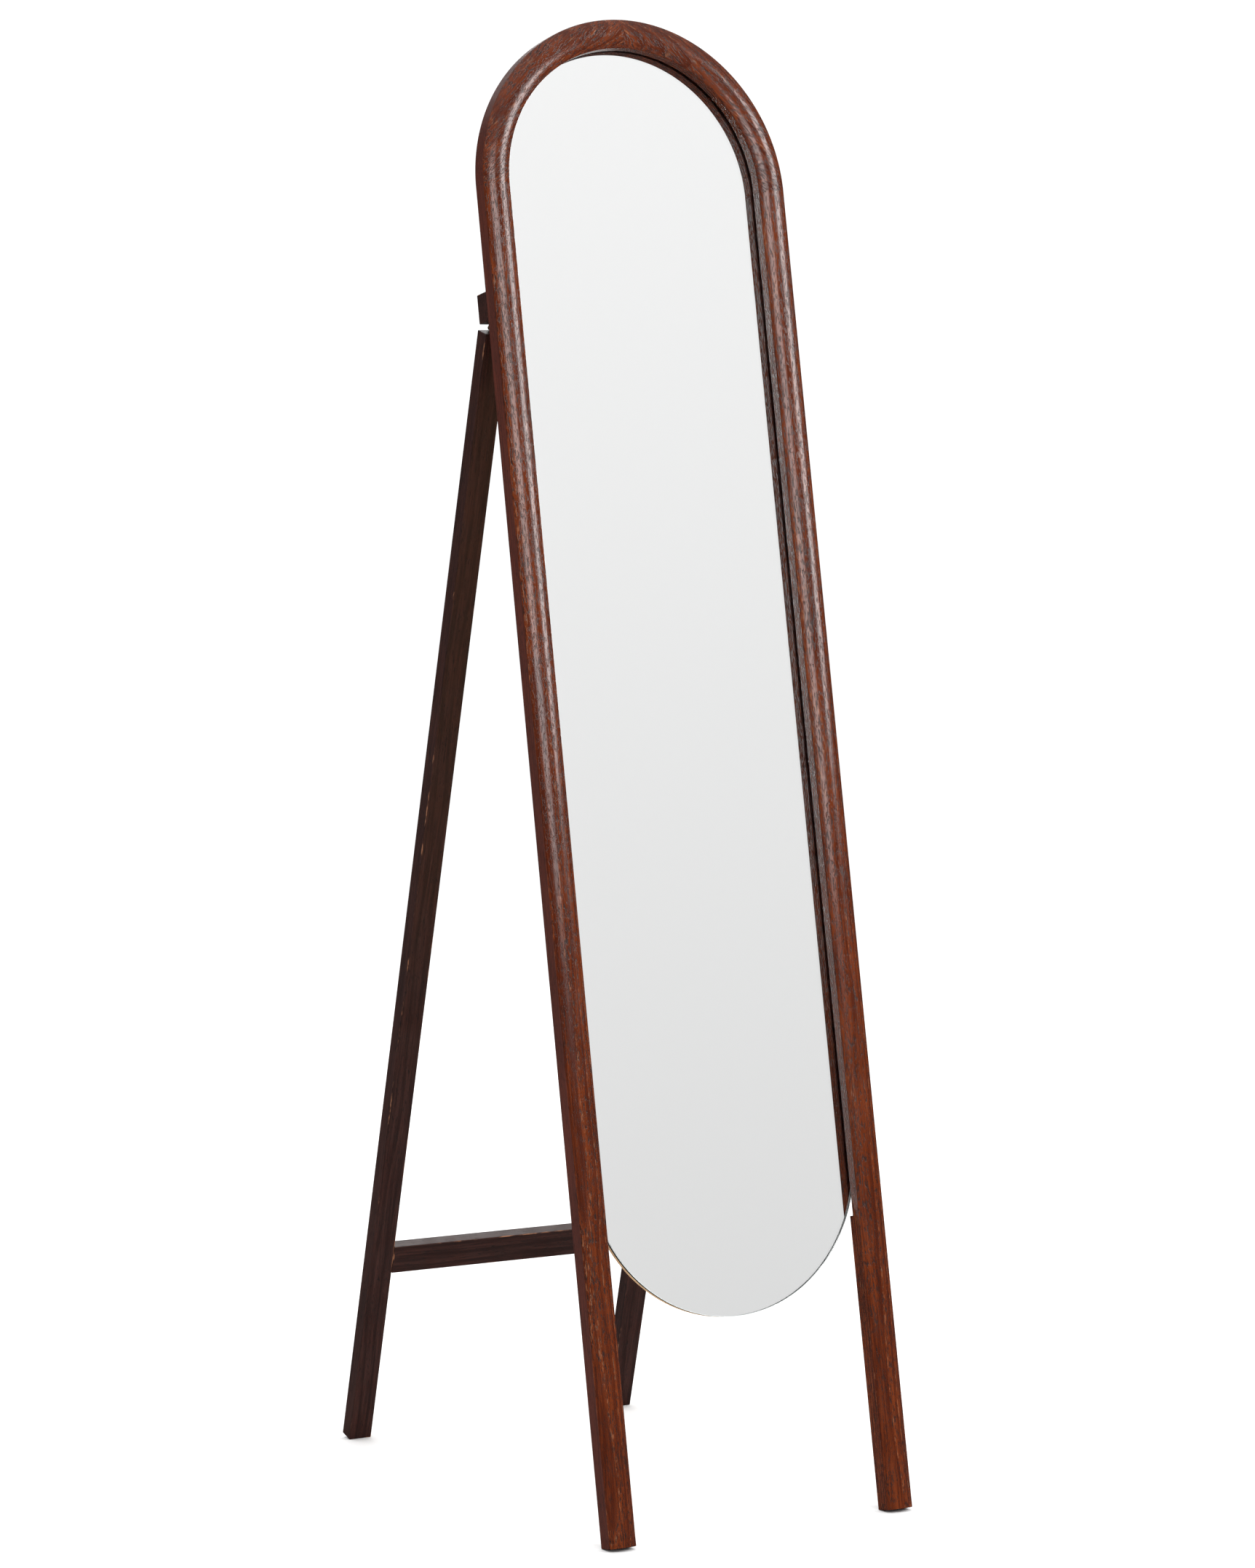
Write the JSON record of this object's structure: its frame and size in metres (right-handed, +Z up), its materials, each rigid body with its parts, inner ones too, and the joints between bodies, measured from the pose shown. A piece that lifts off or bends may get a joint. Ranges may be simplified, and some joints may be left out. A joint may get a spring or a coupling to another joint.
{
  "type": "arched floor mirror with a folding rear stand",
  "caption": "Full-length arched mirror in a wooden frame with open feet, held leaning back by a hinged two-legged rear stand that folds flat.",
  "frame": {"origin": "on the floor, in the middle of the footprint of the open mirror", "axes": "+Z up; +X to the right of a person who looks into the mirror; the mirror faces -Y"},
  "size_m": [0.4, 0.6916, 1.7254],
  "materials": {
    "frame_wood": "dark red-brown stain under a satin to gloss lacquer, open grain",
    "stand_wood": "espresso stain, satin",
    "mirror": "silvered glass with a polished edge",
    "board": "raw fibreboard",
    "dowel_wood": "raw beech",
    "hinge_metal": "antique brass",
    "steel": "zinc plated"
  },
  "bodies": {
    "mirror_frame": {"hinge_fixed_leaf_right": "hinge_metal", "hinge_fixed_leaf_left": "hinge_metal", "hinge_pin_right": "hinge_metal", "hinge_pin_left": "hinge_metal", "rail_right": "frame_wood", "rail_left": "frame_wood", "arch_segment_right": "frame_wood", "arch_segment_left": "frame_wood", "rail_dowel_outer_right": "dowel_wood", "rail_dowel_outer_left": "dowel_wood", "crown_dowel_outer": "dowel_wood", "rail_dowel_inner_right": "dowel_wood", "rail_dowel_inner_left": "dowel_wood", "crown_dowel_inner": "dowel_wood", "mirror_glass": "mirror", "backing_board": "board", "clip_1_right": "steel", "clip_1_left": "steel", "clip_screw_1_right": "steel", "clip_screw_1_left": "steel", "clip_2_right": "steel", "clip_2_left": "steel", "clip_screw_2_right": "steel", "clip_screw_2_left": "steel", "clip_3_right": "steel", "clip_3_left": "steel", "clip_screw_3_right": "steel", "clip_screw_3_left": "steel", "arch_clip_right": "steel", "arch_clip_left": "steel", "arch_clip_screw_right": "steel", "arch_clip_screw_left": "steel", "hinge_batten": "stand_wood", "batten_screw_1_right": "steel", "batten_screw_1_left": "steel", "batten_screw_2_right": "steel", "batten_screw_2_left": "steel", "fixed_leaf_screw_1_right": "hinge_metal", "fixed_leaf_screw_1_left": "hinge_metal", "fixed_leaf_screw_2_right": "hinge_metal", "fixed_leaf_screw_2_left": "hinge_metal"},
    "rear_stand": {"hinge_stand_leaf_right": "hinge_metal", "hinge_stand_leaf_left": "hinge_metal", "stand_leaf_screw_1_right": "hinge_metal", "stand_leaf_screw_1_left": "hinge_metal", "stand_leaf_screw_2_right": "hinge_metal", "stand_leaf_screw_2_left": "hinge_metal", "stand_leg_right": "stand_wood", "stand_leg_left": "stand_wood", "stand_stretcher": "stand_wood", "stretcher_dowel_1_right": "dowel_wood", "stretcher_dowel_1_left": "dowel_wood", "stretcher_dowel_2_right": "dowel_wood", "stretcher_dowel_2_left": "dowel_wood"}
  },
  "joints": [
    {"name": "stand_fold", "type": "hinge", "parent": "mirror_frame", "child": "rear_stand", "pos_m": [0, -0.04852, 1.36524], "axis": [-1, 0, 0], "range_deg": [0, 26.4]}
  ]
}
